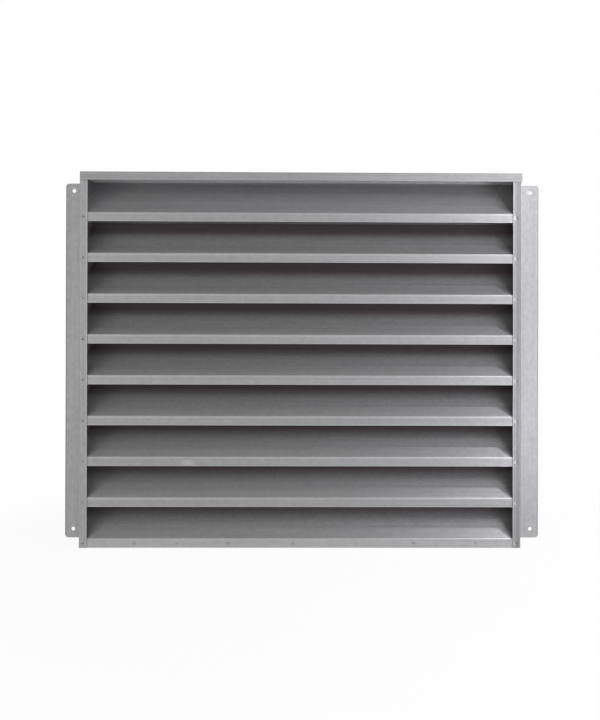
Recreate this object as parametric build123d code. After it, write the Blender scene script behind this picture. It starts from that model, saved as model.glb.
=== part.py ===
from build123d import *
import os

# Fixed louver for an exhaust fan opening, folded from thin steel sheet and spot-welded.
# Units are millimetres. X runs to the viewer's right, Y into the wall and Z up.
# The origin is the centre of the four wall holes, on the rear face that lies on the wall.

# Sheet
sheet = 1.0
bend_radius = 1.0

# Frame, over the jamb webs and from the lips' front face to the wall
frame_width = 600.0
frame_depth = 50.0
jamb_lip = 11.0
flange_width = 40.0
flange_corner = 5.0

# Wall holes, measured in from the flange's outer edge and from the frame's ends
hole_diameter = 5.5
hole_inset = 11.5
hole_from_end = 12.5

# Blades: the pitch also sets the frame's height
blade_count = 9
blade_pitch = 55.35
nose_height = 11.85
upstand_height = 3.0
upstand_setback = 4.0
blade_top_gap = 0.2
blade_end_clearance = 0.1

# Rails
cap_lip = 11.5
cap_tab = 12.0
sill_lip = 10.0
sill_tab = 12.0
corner_relief = 2.0
tab_flange_clearance = 1.0

# Spot welds: shallow round dimples left by the electrode
weld_diameter = 5.0
weld_depth = 0.3
sill_weld_places = [-225.0, -167.0, -98.0, -10.0, 77.0, 154.0, 238.0]

# Sizes that follow from the ones above
outer_bend = bend_radius + sheet
frame_height = blade_count * blade_pitch + nose_height
frame_top = frame_height / 2
frame_bottom = -frame_height / 2
web_outside = frame_width / 2
web_inside = web_outside - sheet
flange_edge = web_outside + flange_width
lip_front = -frame_depth
nose_front = lip_front + sheet
jamb_top = frame_top - sheet - bend_radius
blade_half_length = web_inside - blade_end_clearance
nose_notch = bend_radius + blade_end_clearance
blade_rise = blade_pitch - sheet - blade_top_gap
hole_x = flange_edge - hole_inset
hole_z = frame_top - hole_from_end


def bent_strip(skin):
    """Section of a folded sheet: skin holds the sharp corners of one face, the sheet lies on its left."""
    corners = [Vector(*point) for point in skin]
    steps = [(after - before).normalized() for before, after in zip(corners, corners[1:])]
    sides = [Vector(-step.Y, step.X) for step in steps]
    back = [corners[0] + sides[0] * sheet]
    skin_radii = []
    back_radii = []
    for i in range(1, len(steps)):
        mitre = (sides[i - 1] + sides[i]) / (1 + sides[i - 1].dot(sides[i]))
        back.append(corners[i] + mitre * sheet)
        turns_left = steps[i - 1].cross(steps[i]).Z > 0
        skin_radii.append(outer_bend if turns_left else bend_radius)
        back_radii.append(bend_radius if turns_left else outer_bend)
    back.append(corners[-1] + sides[-1] * sheet)
    outline = FilletPolyline(*corners, radius=skin_radii)
    outline += Line(corners[-1], back[-1])
    outline += FilletPolyline(*back, radius=back_radii)
    outline += Line(back[0], corners[0])
    return make_face(outline.edges())


def along_x(section, half_length):
    """A section drawn in Y and Z, run to both sides of the middle."""
    return extrude(Plane.YZ * section, amount=half_length, both=True)


def along_y(section, front, rear):
    """A section drawn in X and Z, run from front to rear."""
    return extrude(Plane.XZ.offset(-rear) * section, amount=rear - front)


def weld_dimple(x, face_y, z):
    """Ball that sinks weld_depth into a face looking to the front and leaves a dimple of weld_diameter."""
    ball = ((weld_diameter / 2) ** 2 + weld_depth**2) / (2 * weld_depth)
    return Pos(x, face_y + weld_depth - ball, z) * Sphere(ball)


def nose_top(number):
    """Height of the sharp corner above the nose of a blade, counted from 1 at the top."""
    return frame_top - number * blade_pitch


# Jambs: front lip, web and rear flange in one fold, welded to each blade nose through the lip.
# They end below the cap's folds, and only the left web, where the cap has no tab, runs up to the cap.
jamb_section = bent_strip([
    (web_outside - jamb_lip, lip_front),
    (web_outside, lip_front),
    (web_outside, -sheet),
    (flange_edge, -sheet),
])
right_jamb = Pos(0, 0, frame_bottom) * extrude(jamb_section, amount=jamb_top - frame_bottom)
flange_ends = right_jamb.edges().filter_by(Axis.Y).group_by(Axis.X)[-1]
right_jamb = fillet(flange_ends, radius=flange_corner)
for side in (-1, 1):
    drill = Rot(90, 0, 0) * Cylinder(hole_diameter / 2, 4 * sheet)
    right_jamb -= Pos(hole_x, -sheet / 2, side * hole_z) * drill
for number in range(1, blade_count + 1):
    weld_z = nose_top(number) - nose_height / 2
    right_jamb -= weld_dimple(web_outside - jamb_lip / 2, lip_front, weld_z)
left_jamb = mirror(right_jamb, about=Plane.YZ)
web_end = Box(sheet, frame_depth - 2 * outer_bend, bend_radius)
left_jamb += Pos(sheet / 2 - web_outside, lip_front / 2, jamb_top + bend_radius / 2) * web_end

# Top rail: a cap with its lip in front of the jamb lips, cut flush on the left and tabbed over the right jamb
cap_left = -web_inside
cap_right = web_outside + sheet
cap_middle = (cap_left + cap_right) / 2
cap_front = lip_front - sheet
cap_tab_start = cap_front + outer_bend + corner_relief
cap_tab_end = -outer_bend - tab_flange_clearance
cap_fold = bent_strip([
    (cap_tab_start, frame_top),
    (cap_front, frame_top),
    (cap_front, frame_top - cap_lip),
])
cap_corner = bent_strip([
    (cap_right, frame_top - cap_tab),
    (cap_right, frame_top),
    (cap_left, frame_top),
])
cap_rear_middle = (cap_left + web_outside) / 2
cap_rear = Box(web_outside - cap_left, -cap_tab_end, sheet)
cap_rear = Pos(cap_rear_middle, cap_tab_end / 2, frame_top - sheet / 2) * cap_rear
top_rail = Pos(cap_middle, 0, 0) * along_x(cap_fold, (cap_right - cap_left) / 2)
top_rail += along_y(cap_corner, cap_tab_start, cap_tab_end)
top_rail += cap_rear

# Bottom rail: a sill with its lip behind the lowest nose and a tab inside each jamb web
sill_front = nose_front + sheet
sill_tabs_start = sill_front + outer_bend + corner_relief
sill_tabs_end = -outer_bend - tab_flange_clearance
sill_fold = bent_strip([
    (sill_front, frame_bottom + sill_lip),
    (sill_front, frame_bottom),
    (sill_tabs_start, frame_bottom),
])
sill_tray = bent_strip([
    (-web_inside, frame_bottom + sill_tab),
    (-web_inside, frame_bottom),
    (web_inside, frame_bottom),
    (web_inside, frame_bottom + sill_tab),
])
sill_rear_width = 2 * (web_inside - outer_bend)
sill_rear = Pos(0, sill_tabs_end / 2, frame_bottom + sheet / 2) * Box(sill_rear_width, -sill_tabs_end, sheet)
bottom_rail = along_x(sill_fold, blade_half_length)
bottom_rail += along_y(sill_tray, sill_tabs_start, sill_tabs_end)
bottom_rail += sill_rear


def louver_blade(number):
    """Blade with an upright nose, a slope to the rear and a short upstand, notched to clear the jambs' folds."""
    corner_z = nose_top(number)
    section = bent_strip([
        (-upstand_setback, corner_z + blade_rise),
        (-upstand_setback, corner_z + blade_rise - upstand_height),
        (nose_front, corner_z),
        (nose_front, corner_z - nose_height),
    ])
    blade = along_x(section, blade_half_length)
    nose_drop = nose_height + outer_bend
    for side in (-1, 1):
        notch = Box(2 * nose_notch, 2 * (sheet + blade_end_clearance), 2 * nose_drop)
        blade -= Pos(side * web_inside, nose_front, corner_z) * notch
    if number == blade_count:
        for place in sill_weld_places:
            blade -= weld_dimple(place, nose_front, corner_z - nose_height / 2)
    return blade


# Write one file for each piece
pieces = {
    "top_rail": top_rail,
    "bottom_rail": bottom_rail,
    "left_jamb": left_jamb,
    "right_jamb": right_jamb,
}
for number in range(1, blade_count + 1):
    pieces[f"louver_blade_{number}"] = louver_blade(number)

os.makedirs("parts", exist_ok=True)
for name, shape in pieces.items():
    export_step(shape, f"parts/{name}.step")
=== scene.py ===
import math

import bpy
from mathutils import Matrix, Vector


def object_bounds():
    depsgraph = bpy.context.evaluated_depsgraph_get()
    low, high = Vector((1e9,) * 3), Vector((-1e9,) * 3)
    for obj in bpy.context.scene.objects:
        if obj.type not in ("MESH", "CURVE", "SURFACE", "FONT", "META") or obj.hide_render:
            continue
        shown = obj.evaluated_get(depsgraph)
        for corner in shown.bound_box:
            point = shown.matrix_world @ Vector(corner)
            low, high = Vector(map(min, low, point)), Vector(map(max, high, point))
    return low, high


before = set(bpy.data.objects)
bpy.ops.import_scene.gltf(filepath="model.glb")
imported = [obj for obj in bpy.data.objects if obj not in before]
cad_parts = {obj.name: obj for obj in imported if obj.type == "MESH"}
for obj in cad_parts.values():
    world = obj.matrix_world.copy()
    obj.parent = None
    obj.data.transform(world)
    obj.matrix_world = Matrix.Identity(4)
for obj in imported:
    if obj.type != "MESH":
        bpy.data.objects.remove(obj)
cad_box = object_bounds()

# Jambs
# The two sides of the frame, each one strip of bare rolled steel folded to a front lip, a web and a flange,
# with its rolling direction upright. The blades are spot-welded behind the lip, which leaves a dot over each
# nose, painted dark both as weld burn and as the shade in the weld's dimple.
sheet = 0.001
flange_width = 0.040
lip_width = 0.011
blade_pitch = 0.05535
nose_height = 0.01185
frame_top = cad_box[1].z
flange_edge = cad_box[1].x
fold_edge = flange_edge - flange_width
lip_edge = fold_edge - lip_width
lip_front = cad_box[0].y + sheet
pocket_floor = frame_top - blade_pitch


def link(tree, source, target):
    """Joins an output socket to an input socket."""
    tree.links.new(source, target)


def math_node(tree, operation, *values):
    """A Math node: the operation on its inputs, each a socket or a plain number."""
    node = tree.nodes.new("ShaderNodeMath")
    node.operation = operation
    for socket, value in zip(node.inputs, values):
        if isinstance(value, (int, float)):
            socket.default_value = value
        else:
            link(tree, value, socket)
    return node.outputs[0]


def times(tree, first, *others):
    """The product of all the values."""
    for other in others:
        first = math_node(tree, "MULTIPLY", first, other)
    return first


def minus(tree, first, second):
    """first - second."""
    return math_node(tree, "SUBTRACT", first, second)


def blend(tree, share, first, second):
    """first + share * (second - first)."""
    return math_node(tree, "ADD", first, times(tree, share, minus(tree, second, first)))


def axes(tree, vector):
    """The X, Y and Z of a vector socket."""
    parts = tree.nodes.new("ShaderNodeSeparateXYZ")
    link(tree, vector, parts.inputs[0])
    return parts.outputs["X"], parts.outputs["Y"], parts.outputs["Z"]


def step(tree, value, start, end):
    """0 up to start and 1 from end on, with a smooth rise between. The start may be the larger one."""
    node = tree.nodes.new("ShaderNodeMapRange")
    node.interpolation_type = "SMOOTHSTEP"
    link(tree, value, node.inputs["Value"])
    node.inputs["From Min"].default_value = start
    node.inputs["From Max"].default_value = end
    return node.outputs[0]


def band(tree, value, middle, half, soft):
    """1 within half of the middle, falling smoothly to 0 over soft on both sides."""
    away = math_node(tree, "ABSOLUTE", minus(tree, value, middle))
    return step(tree, away, half + soft, half)


def spot(tree, across, along, radius, soft):
    """1 where the root of across squared + along squared is under radius, falling smoothly to 0 over soft."""
    squares = [math_node(tree, "POWER", away, 2.0) for away in (across, along)]
    return step(tree, math_node(tree, "SQRT", math_node(tree, "ADD", *squares)), radius + soft, radius)


def stretched_noise(tree, place, stretch, detail, roughness):
    """Noise read at place * stretch, so a small stretch along one axis draws it out into streaks there."""
    scaled = tree.nodes.new("ShaderNodeVectorMath")
    scaled.operation = "MULTIPLY"
    link(tree, place, scaled.inputs[0])
    scaled.inputs[1].default_value = stretch
    noise = tree.nodes.new("ShaderNodeTexNoise")
    link(tree, scaled.outputs[0], noise.inputs["Vector"])
    noise.inputs["Scale"].default_value = 1.0
    noise.inputs["Detail"].default_value = detail
    noise.inputs["Roughness"].default_value = roughness
    return noise.outputs["Fac"]


# Rolling leaves fine streaks and broad bands along the strip, handling leaves soft clouds, and no sheet is
# quite flat. Each noise has a stretch along the roll and two across it, a detail and a roughness.
streak_noise = ((5.0, 600.0, 600.0), 3.0, 0.6)
band_noise = ((1.8, 110.0, 110.0), 2.0, 0.5)
cloud_noise = ((110.0, 160.0, 160.0), 4.0, 0.65)
wave_noise = ((9.0, 22.0, 22.0), 1.0, 0.5)
streak_height = 0.012
noise_mean = 0.5


def rolled_sheet_group():
    """Shade = the sum of streaks, bands and clouds, each less its mean and times its amount.

    Height = waves + streaks times their height.
    """
    tree = bpy.data.node_groups.new("rolled_sheet", "ShaderNodeTree")
    tree.interface.new_socket("Along the roll", in_out="INPUT", socket_type="NodeSocketVector")
    for name in ("Streaks", "Bands", "Clouds"):
        tree.interface.new_socket(name, in_out="INPUT", socket_type="NodeSocketFloat")
    for name in ("Shade", "Height"):
        tree.interface.new_socket(name, in_out="OUTPUT", socket_type="NodeSocketFloat")
    inside = tree.nodes.new("NodeGroupInput")
    outside = tree.nodes.new("NodeGroupOutput")
    place = inside.outputs["Along the roll"]
    streaks = stretched_noise(tree, place, *streak_noise)
    bands = stretched_noise(tree, place, *band_noise)
    clouds = stretched_noise(tree, place, *cloud_noise)
    waves = stretched_noise(tree, place, *wave_noise)
    shade = 0.0
    for noise, amount in ((streaks, "Streaks"), (bands, "Bands"), (clouds, "Clouds")):
        centred = minus(tree, noise, noise_mean)
        shade = math_node(tree, "ADD", shade, times(tree, centred, inside.outputs[amount]))
    link(tree, shade, outside.inputs["Shade"])
    height = math_node(tree, "ADD", waves, times(tree, streaks, streak_height))
    link(tree, height, outside.inputs["Height"])
    return tree


rolled_sheet = rolled_sheet_group()
steel_colour = (0.315, 0.315, 0.319)
steel_metallic = 0.85
# A warm tint of painted shade, laid in where the marks' shade falls within shade_tint_range.
shade_tint_colour = (0.372, 0.280, 0.296)
shade_tint_range = (0.55, 0.22)
roughness_by_shade = -0.4
bump_strength = 0.5
bump_distance = 0.0012


def sheet_material(name, roll_turn, sheet_shade, sheet_roughness, rolling, marks):
    """Bare sheet with marks laid over it in turn, each a mask with a shade, a metallic share and a roughness.

    The base colour is the steel's colour times the marks' shade times 1 + the rolled sheet's shade. Where the
    shade is deep, the colour leans to a warm tint, painted as the tint of shade. rolling holds the amounts of
    streaks, bands and clouds.
    """
    material = bpy.data.materials.new(name)
    material.use_nodes = True
    tree = material.node_tree
    shader = tree.nodes["Principled BSDF"]
    place = tree.nodes.new("ShaderNodeTexCoord")
    turn = tree.nodes.new("ShaderNodeMapping")
    turn.inputs["Rotation"].default_value = roll_turn
    link(tree, place.outputs["Object"], turn.inputs["Vector"])
    finish = tree.nodes.new("ShaderNodeGroup")
    finish.node_tree = rolled_sheet
    link(tree, turn.outputs["Vector"], finish.inputs["Along the roll"])
    for amount, value in zip(("Streaks", "Bands", "Clouds"), rolling):
        finish.inputs[amount].default_value = value
    shade, metallic, roughness = sheet_shade, steel_metallic, sheet_roughness
    for mask, mark_shade, mark_metallic, mark_roughness in marks(tree, place):
        shade = blend(tree, mask, shade, mark_shade)
        metallic = blend(tree, mask, metallic, mark_metallic)
        roughness = blend(tree, mask, roughness, mark_roughness)
    leaning = tree.nodes.new("ShaderNodeVectorMath")
    leaning.operation = "MULTIPLY_ADD"
    link(tree, step(tree, shade, *shade_tint_range), leaning.inputs[0])
    leaning.inputs[1].default_value = [film - steel for film, steel in zip(shade_tint_colour, steel_colour)]
    leaning.inputs[2].default_value = steel_colour
    tint = tree.nodes.new("ShaderNodeVectorMath")
    tint.operation = "SCALE"
    link(tree, leaning.outputs[0], tint.inputs[0])
    rolled = math_node(tree, "ADD", finish.outputs["Shade"], 1.0)
    link(tree, times(tree, shade, rolled), tint.inputs["Scale"])
    link(tree, tint.outputs[0], shader.inputs["Base Color"])
    link(tree, metallic, shader.inputs["Metallic"])
    rough_shift = times(tree, finish.outputs["Shade"], roughness_by_shade)
    link(tree, math_node(tree, "ADD", rough_shift, roughness), shader.inputs["Roughness"])
    bump = tree.nodes.new("ShaderNodeBump")
    bump.inputs["Strength"].default_value = bump_strength
    bump.inputs["Distance"].default_value = bump_distance
    link(tree, finish.outputs["Height"], bump.inputs["Height"])
    link(tree, bump.outputs["Normal"], shader.inputs["Normal"])
    return material


def dress(node, material):
    """Gives a CAD node its finish."""
    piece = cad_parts[node]
    piece.data.materials.clear()
    piece.data.materials.append(material)


# Where the lip, the fold, the web and the rim of a jamb start and end, as steps from 0 to 1
left_to_right = (-0.1, 0.1)
lip_face = (lip_front + 0.002, lip_front + 0.0005)
fold_outside = (lip_front + 0.003, lip_front + 0.0022)
behind_lip = (lip_front + 0.002, lip_front + 0.005)
web_inside = (fold_edge - 0.0003, fold_edge - 0.0007)
above_blade = (pocket_floor - 0.002, pocket_floor + 0.002)
flange_rim = (flange_edge - 0.0022, flange_edge - 0.0008)

# Half widths and soft rims of the marks
line_soft = 0.0008
lip_edge_half = 0.0012
lip_edge_share_right = 0.45
fold_half = 0.0008
fold_soft = 0.0006
fold_share_left = 0.25
lip_half = 0.010
lip_line_half = 0.0014
weld_across = fold_edge - lip_width / 2
lip_line_across = weld_across + 0.0012
first_weld = pocket_floor - nose_height / 2
weld_radius = 0.0009
weld_soft = 0.0012
# Beside each right-hand weld, a painted highlight on the lit side of its dimple.
weld_glint_across = weld_across - 0.0032
weld_glint_radius = 0.0008
weld_glint_soft = 0.0022
hole_rub_x = flange_edge - 0.0155
hole_rub_z = frame_top - 0.0125
hole_rub_radius = 0.0012
hole_rub_soft = 0.0018

# Finish of each mark: shade, metallic share and roughness
# Weld dots, painted dark both as weld burn and as the shade in each weld's dimple.
weld_burn_and_shade = (0.42, 0.5, 0.6)
# Painted highlights: on the lip's edge, the cap's low edge, the nose's bend and lower edge, and beside the
# right-hand welds.
painted_highlight = (1.16, 0.9, 0.38)
# A darker line along the flange's rim and the cap's top fold.
darker_edge = (0.68, 0.85, 0.5)
# Painted shade on the bend between lip and flange, toning down its highlight.
bend_shade = (0.60, 0.7, 0.6)
# The right lip is painted darker than the left, as painted shade.
right_lip_shade = (0.80, 0.85, 0.5)
# A darker line along the right lip.
lip_line_dark = (0.66, 0.85, 0.5)
# Painted shade on the web's inner face between the blades, less deep in the pocket above the top blade.
web_shade = (0.24, 0.35, 0.6)
pocket_web_shade = (0.62, 0.35, 0.6)
hole_rub = (1.22, 0.7, 0.42)

# Welds differ: a slow noise, spread over a range, leaves from the faintest share to all of a dot
weld_noise = ((17.0, 17.0, 17.0), 0.0, 0.5)
weld_noise_range = (0.3, 0.7)
faintest_weld = 0.35


def weld_strength(tree, place):
    """A slow noise from the faintest share to 1, so that no two welds are alike."""
    noise = stretched_noise(tree, place.outputs["Object"], *weld_noise)
    return blend(tree, step(tree, noise, *weld_noise_range), faintest_weld, 1.0)


def jamb_marks(tree, place):
    """Painted shade on the web's inner face and the fold, a painted highlight on the lip's edge, lines along
    the lip and the flange's rim, and dots.

    The weld dots come once in each pitch, painted dark both as weld burn and as the shade in each weld's
    dimple, the right-hand ones with a painted highlight beside them on the dimple's lit side. A rub lies
    beside the upper right hole. The right lip is painted darker than the left as shade, with a darker line
    along it.
    """
    x, y, z = axes(tree, place.outputs["Object"])
    across = math_node(tree, "ABSOLUTE", x)
    on_right = step(tree, x, *left_to_right)
    front = step(tree, y, *lip_face)
    inside = times(tree, step(tree, across, *web_inside), step(tree, y, *behind_lip))
    in_pocket = times(tree, inside, step(tree, z, *above_blade))
    right_lip = times(tree, band(tree, x, fold_edge, lip_half, line_soft), front)
    edge = times(tree, band(tree, across, lip_edge, lip_edge_half, line_soft), front)
    edge = times(tree, edge, blend(tree, on_right, 1.0, lip_edge_share_right))
    fold = times(tree, band(tree, across, fold_edge, fold_half, fold_soft), step(tree, y, *fold_outside))
    fold = times(tree, fold, blend(tree, on_right, fold_share_left, 1.0))
    lip_line = times(tree, band(tree, x, lip_line_across, lip_line_half, line_soft), front)
    along = math_node(tree, "WRAP", minus(tree, z, first_weld), blade_pitch / 2, -blade_pitch / 2)
    weld_glint = spot(tree, minus(tree, x, weld_glint_across), along, weld_glint_radius, weld_glint_soft)
    dot = spot(tree, minus(tree, across, weld_across), along, weld_radius, weld_soft)
    rim = step(tree, across, *flange_rim)
    rub = spot(tree, minus(tree, x, hole_rub_x), minus(tree, z, hole_rub_z), hole_rub_radius, hole_rub_soft)
    return [
        (inside, *web_shade),
        (in_pocket, *pocket_web_shade),
        (right_lip, *right_lip_shade),
        (edge, *painted_highlight),
        (fold, *bend_shade),
        (lip_line, *lip_line_dark),
        (times(tree, weld_glint, front), *painted_highlight),
        (times(tree, dot, weld_strength(tree, place), front), *weld_burn_and_shade),
        (rim, *darker_edge),
        (rub, *hole_rub),
    ]


upright = (0.0, math.pi / 2, 0.0)
# The jambs' steel is painted a little paler than the blades' and rails', as painted light.
jamb_shade = 1.06
jamb_roughness = 0.55
jamb_rolling = (0.20, 0.16, 0.34)
jamb_steel = sheet_material("jamb_steel", upright, jamb_shade, jamb_roughness, jamb_rolling, jamb_marks)
for node in ("left_jamb", "right_jamb"):
    dress(node, jamb_steel)

# Rails
# The cap over the frame and the sill under it, folded from the same steel, rolled lengthways and spot-welded
# in place. The cap's top fold is darker and its lower edge carries a painted highlight. Faces that look down
# are painted pale, as painted light.
lengthways = (0.0, 0.0, 0.0)
cap_lip = 0.0115
cap_face = (lip_front + 0.0015, lip_front)
cap_fold = (frame_top - 0.0022, frame_top - 0.0008)
cap_edge_half = 0.0012
cap_edge_fading = (-0.1, 0.2)
cap_edge_share_right = 0.2
looking_down = (-0.6, -0.8)
# Faces that look down are painted pale, as painted light.
underside_light = (2.3, 0.10, 0.5)
rail_shade = 1.0
rail_roughness = 0.58
rail_rolling = (0.46, 0.40, 0.30)


def rail_marks(tree, place):
    """Painted light on faces below, a darker line on the top fold and a painted highlight on the low edge
    that fades to the right.
    """
    x, y, z = axes(tree, place.outputs["Object"])
    facing_up = axes(tree, place.outputs["Normal"])[2]
    front = step(tree, y, *cap_face)
    highlight_fade = blend(tree, step(tree, x, *cap_edge_fading), 1.0, cap_edge_share_right)
    low_edge = times(tree, band(tree, z, frame_top - cap_lip, cap_edge_half, line_soft), front, highlight_fade)
    return [
        (step(tree, facing_up, *looking_down), *underside_light),
        (times(tree, step(tree, z, *cap_fold), front), *darker_edge),
        (low_edge, *painted_highlight),
    ]


rail_steel = sheet_material("rail_steel", lengthways, rail_shade, rail_roughness, rail_rolling, rail_marks)
for node in ("top_rail", "bottom_rail"):
    dress(node, rail_steel)

# Blades
# Nine like strips of the same steel, rolled lengthways, folded to a nose in front and a short upstand behind,
# and spot-welded at both ends. The noses carry painted highlights along their upper bend and lower edge. The
# slopes are painted darker than the noses, as painted shade that deepens to the rear and by the nose, with
# mottled grain in it.
nose_front = lip_front + sheet
nose_face = (nose_front + 0.0025, nose_front + 0.0010)
looking_up = (0.45, 0.65)
rear_shade_reach = (-0.031, -0.0145)
fold_reach = (-0.034, -0.040)
pocket_reach = (pocket_floor, pocket_floor - 0.004)
# Faces that look up are painted darker than the noses, as painted shade, deeper to the rear and by the nose.
slope_shade = (0.86, 0.65, 0.43)
rear_shade = (0.20, 0.35, 0.6)
fold_shade = (0.66, 0.70, 0.42)
# The slope in the closed pocket under the cap is painted paler than the others, as painted light.
pocket_light = (1.06, 0.35, 0.5)
pocket_fold_light = (0.86, 0.50, 0.45)
mottle_noise = ((330.0, 330.0, 330.0), 2.0, 0.6)
mottle_amount = 0.45
bend_height = -0.0006
bend_half = 0.0010
hem_half = 0.0008
blade_shade = 1.0
blade_roughness = 0.46
blade_rolling = (0.26, 0.24, 0.36)

# A thin bright line on the uppermost slope and a rubbed patch on the seventh nose, as places in X and Z
bright_line_ends = ((0.2675, 0.2234), (0.2844, 0.2501))
bright_line_half = 0.0002
bright_line_soft = 0.0004
bright_line_end_soft = 0.001
bright_line_finish = (2.0, 0.7, 0.4)
patch_place = (-0.153, -0.1402)
patch_radius = 0.0010
patch_soft = 0.0060
patch_tall_by_wide = 0.5
patch_rubbed = (1.26, 0.85, 0.46)


def bright_line_mask(tree, x, z):
    """1 on the straight line through the bright line's two ends, between their heights, and 0 beside it."""
    (low_x, low_z), (high_x, high_z) = bright_line_ends
    lean = (high_x - low_x) / (high_z - low_z)
    line_x = math_node(tree, "MULTIPLY_ADD", z, lean, low_x - lean * low_z)
    within = band(tree, z, (low_z + high_z) / 2, (high_z - low_z) / 2, bright_line_end_soft)
    return times(tree, band(tree, minus(tree, x, line_x), 0.0, bright_line_half, bright_line_soft), within)


def rubbed_patch(tree, x, z):
    """1 in the middle of a spot twice as wide as tall, falling softly to 0."""
    patch_x, patch_z = patch_place
    across = times(tree, minus(tree, x, patch_x), patch_tall_by_wide)
    return spot(tree, across, minus(tree, z, patch_z), patch_radius, patch_soft)


def blade_marks(tree, place):
    """Mottled painted shade on faces that look up, deeper to the rear and by the nose, and painted highlight
    lines on the nose.

    The slope in the closed pocket under the cap is painted paler, as painted light. The lines follow the
    nose's upper bend and its lower edge, once in each pitch.
    """
    x, y, z = axes(tree, place.outputs["Object"])
    facing_up = axes(tree, place.outputs["Normal"])[2]
    upward = step(tree, facing_up, *looking_up)
    by_fold = step(tree, y, *fold_reach)
    pocket = times(tree, upward, minus(tree, 1.0, step(tree, z, *pocket_reach)))
    front = step(tree, y, *nose_face)
    along = math_node(tree, "WRAP", minus(tree, z, pocket_floor), blade_pitch / 2, -blade_pitch / 2)
    bend = band(tree, along, bend_height, bend_half, line_soft)
    hem = band(tree, along, -nose_height, hem_half, line_soft)
    mottle = stretched_noise(tree, place.outputs["Object"], *mottle_noise)
    uneven = math_node(tree, "MULTIPLY_ADD", mottle, mottle_amount, 1.0 - mottle_amount * noise_mean)
    front_shade, front_metallic, front_roughness = slope_shade
    return [
        (upward, times(tree, uneven, front_shade), front_metallic, front_roughness),
        (times(tree, upward, step(tree, y, *rear_shade_reach)), *rear_shade),
        (times(tree, upward, by_fold), *fold_shade),
        (pocket, *pocket_light),
        (times(tree, pocket, by_fold), *pocket_fold_light),
        (times(tree, bright_line_mask(tree, x, z), upward), *bright_line_finish),
        (times(tree, rubbed_patch(tree, x, z), front), *patch_rubbed),
        (times(tree, bend, front), *painted_highlight),
        (times(tree, hem, front), *painted_highlight),
    ]


blade_steel = sheet_material(
    "blade_steel", lengthways, blade_shade, blade_roughness, blade_rolling, blade_marks
)
for node in sorted(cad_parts):
    if node.startswith("louver_blade"):
        dress(node, blade_steel)

# Lowest blade
# The ninth strip closes the front of the sill, and its bare nose is painted a little paler than the others,
# partly as its own tone and partly as painted light. It is spot-welded to the sill by hand, at seven uneven
# places.
lowest_shade = 1.17
lowest_nose_face = (nose_front + 0.002, nose_front + 0.0005)
sill_weld_places = (-0.225, -0.167, -0.098, -0.010, 0.077, 0.154, 0.238)
sill_weld_height = cad_box[0].z + nose_height / 2
sill_weld_soft = 0.0026
sill_weld_burn = (0.84, 0.8, 0.5)


def lowest_blade_marks(tree, place):
    """The other blades' marks, and a weld dot at each place along the nose."""
    x, y, z = axes(tree, place.outputs["Object"])
    front = step(tree, y, *lowest_nose_face)
    along = minus(tree, z, sill_weld_height)
    dots = 0.0
    for weld in sill_weld_places:
        dot = spot(tree, minus(tree, x, weld), along, weld_radius, sill_weld_soft)
        dots = math_node(tree, "MAXIMUM", dots, dot)
    dots = times(tree, dots, weld_strength(tree, place), front)
    return blade_marks(tree, place) + [(dots, *sill_weld_burn)]


lowest_blade_steel = sheet_material(
    "lowest_blade_steel", lengthways, lowest_shade, blade_roughness, blade_rolling, lowest_blade_marks
)
dress("louver_blade_9", lowest_blade_steel)

# Floor
# A plain white floor that the louver stands on. Seen directly or in the metal it is white, and around the
# louver it keeps a soft shadow.
floor_size = 12.0
floor_colour = (0.9, 0.9, 0.9, 1.0)
floor_roughness = 0.9
floor_shadow_share = 0.07
shadow_reach = (0.70, 0.30)


def seen_share(tree, direct):
    """The direct share for rays from the camera, 1 for reflected and refracted ones and 0 for the rest."""
    path = tree.nodes.new("ShaderNodeLightPath")
    camera_ray = times(tree, path.outputs["Is Camera Ray"], direct)
    seen = math_node(tree, "MAXIMUM", camera_ray, path.outputs["Is Glossy Ray"])
    return math_node(tree, "MAXIMUM", seen, path.outputs["Is Transmission Ray"])


floor_white = bpy.data.materials.new("floor_white")
floor_white.use_nodes = True
tree = floor_white.node_tree
paint = tree.nodes["Principled BSDF"]
paint.inputs["Base Color"].default_value = floor_colour
paint.inputs["Roughness"].default_value = floor_roughness
glow = tree.nodes.new("ShaderNodeEmission")
share = tree.nodes.new("ShaderNodeMixShader")
floor_place = tree.nodes.new("ShaderNodeTexCoord")
from_middle = tree.nodes.new("ShaderNodeVectorMath")
from_middle.operation = "LENGTH"
link(tree, floor_place.outputs["Object"], from_middle.inputs[0])
near = step(tree, from_middle.outputs["Value"], *shadow_reach)
lit_share = minus(tree, 1.0, times(tree, near, floor_shadow_share))
link(tree, seen_share(tree, lit_share), share.inputs["Fac"])
link(tree, paint.outputs[0], share.inputs[1])
link(tree, glow.outputs[0], share.inputs[2])
link(tree, share.outputs[0], tree.nodes["Material Output"].inputs["Surface"])
bpy.ops.mesh.primitive_plane_add(size=floor_size, location=(0.0, 0.0, cad_box[0].z))
floor = bpy.context.object
floor.name = "floor"
floor.data.materials.append(floor_white)

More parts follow.
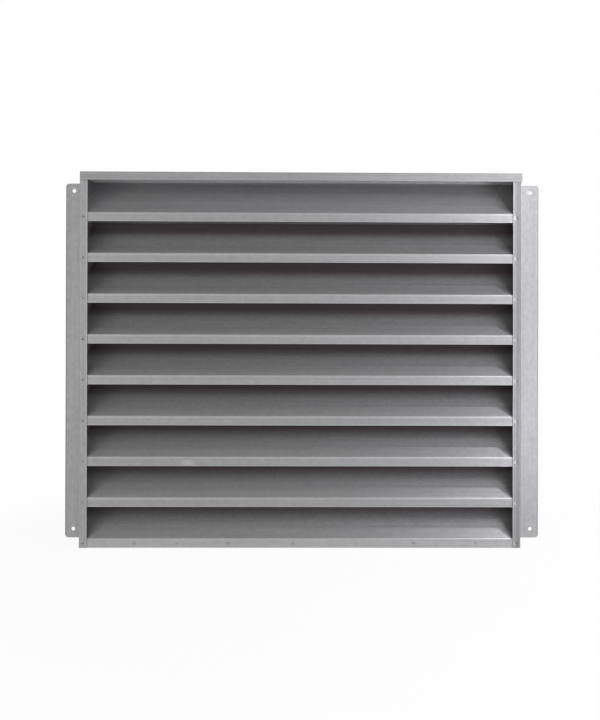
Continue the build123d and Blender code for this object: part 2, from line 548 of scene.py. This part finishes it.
# Light
# White surroundings and soft lamps: two weak ones close by on the right, a tall one on the left, one at the
# upper right and a broad one behind. A small key lamp high on the right gives the crisp light on the blades.
white = (1.0, 1.0, 1.0)
near_white = (0.98, 0.97, 1.0)
cool_white = (0.97, 0.96, 1.0)
bluish_white = (0.93, 0.92, 1.0)
fill_strength = 0.30
world = bpy.data.worlds.new("studio")
bpy.context.scene.world = world
world.use_nodes = True
tree = world.node_tree
surroundings = tree.nodes["Background"]
surroundings.inputs["Color"].default_value = (*white, 1.0)
lift = times(tree, seen_share(tree, 1.0), 1.0 - fill_strength)
link(tree, math_node(tree, "ADD", lift, fill_strength), surroundings.inputs["Strength"])


def lamp(name, place, wide, tall, watts, colour):
    """An area lamp at a place, turned to look at the middle of the louver."""
    data = bpy.data.lights.new(name, "AREA")
    data.shape = "RECTANGLE"
    data.size = wide
    data.size_y = tall
    data.energy = watts
    data.color = colour
    piece = bpy.data.objects.new(name, data)
    bpy.context.scene.collection.objects.link(piece)
    piece.location = place
    piece.rotation_euler = (-piece.location).to_track_quat("-Z", "Y").to_euler()


lamp("right_lamp", (0.72, -0.45, 0.03), wide=0.15, tall=0.55, watts=0.45, colour=bluish_white)
lamp("low_lamp", (0.62, -0.55, -0.15), wide=0.20, tall=0.20, watts=1.15, colour=bluish_white)
lamp("left_lamp", (-1.23, -1.03, 0.12), wide=0.30, tall=0.85, watts=2.8, colour=white)
lamp("soft_lamp", (0.72, -0.72, 0.52), wide=0.40, tall=0.40, watts=3.5, colour=cool_white)
lamp("key_lamp", (1.076, -0.570, 1.329), wide=0.05, tall=0.05, watts=9.0, colour=near_white)
lamp("rear_lamp", (0.75, 1.20, -0.03), wide=1.00, tall=0.40, watts=5.0, colour=white)

# Camera
# In front of the louver and a little to its right, as far off as the flanges' smaller look asks.
view_place = (0.0489, -0.8558, -0.0048)
view_angles = (90.073, -0.148, -0.442)
view = bpy.data.cameras.new("photo_view")
view.sensor_width = 36.0
view.lens = 29.67
view.shift_x = -0.0572
view.shift_y = 0.0041
camera = bpy.data.objects.new("photo_view", view)
camera.location = view_place
camera.rotation_euler = [math.radians(angle) for angle in view_angles]
bpy.context.scene.collection.objects.link(camera)
bpy.context.scene.camera = camera
bpy.context.scene.view_settings.view_transform = "Standard"
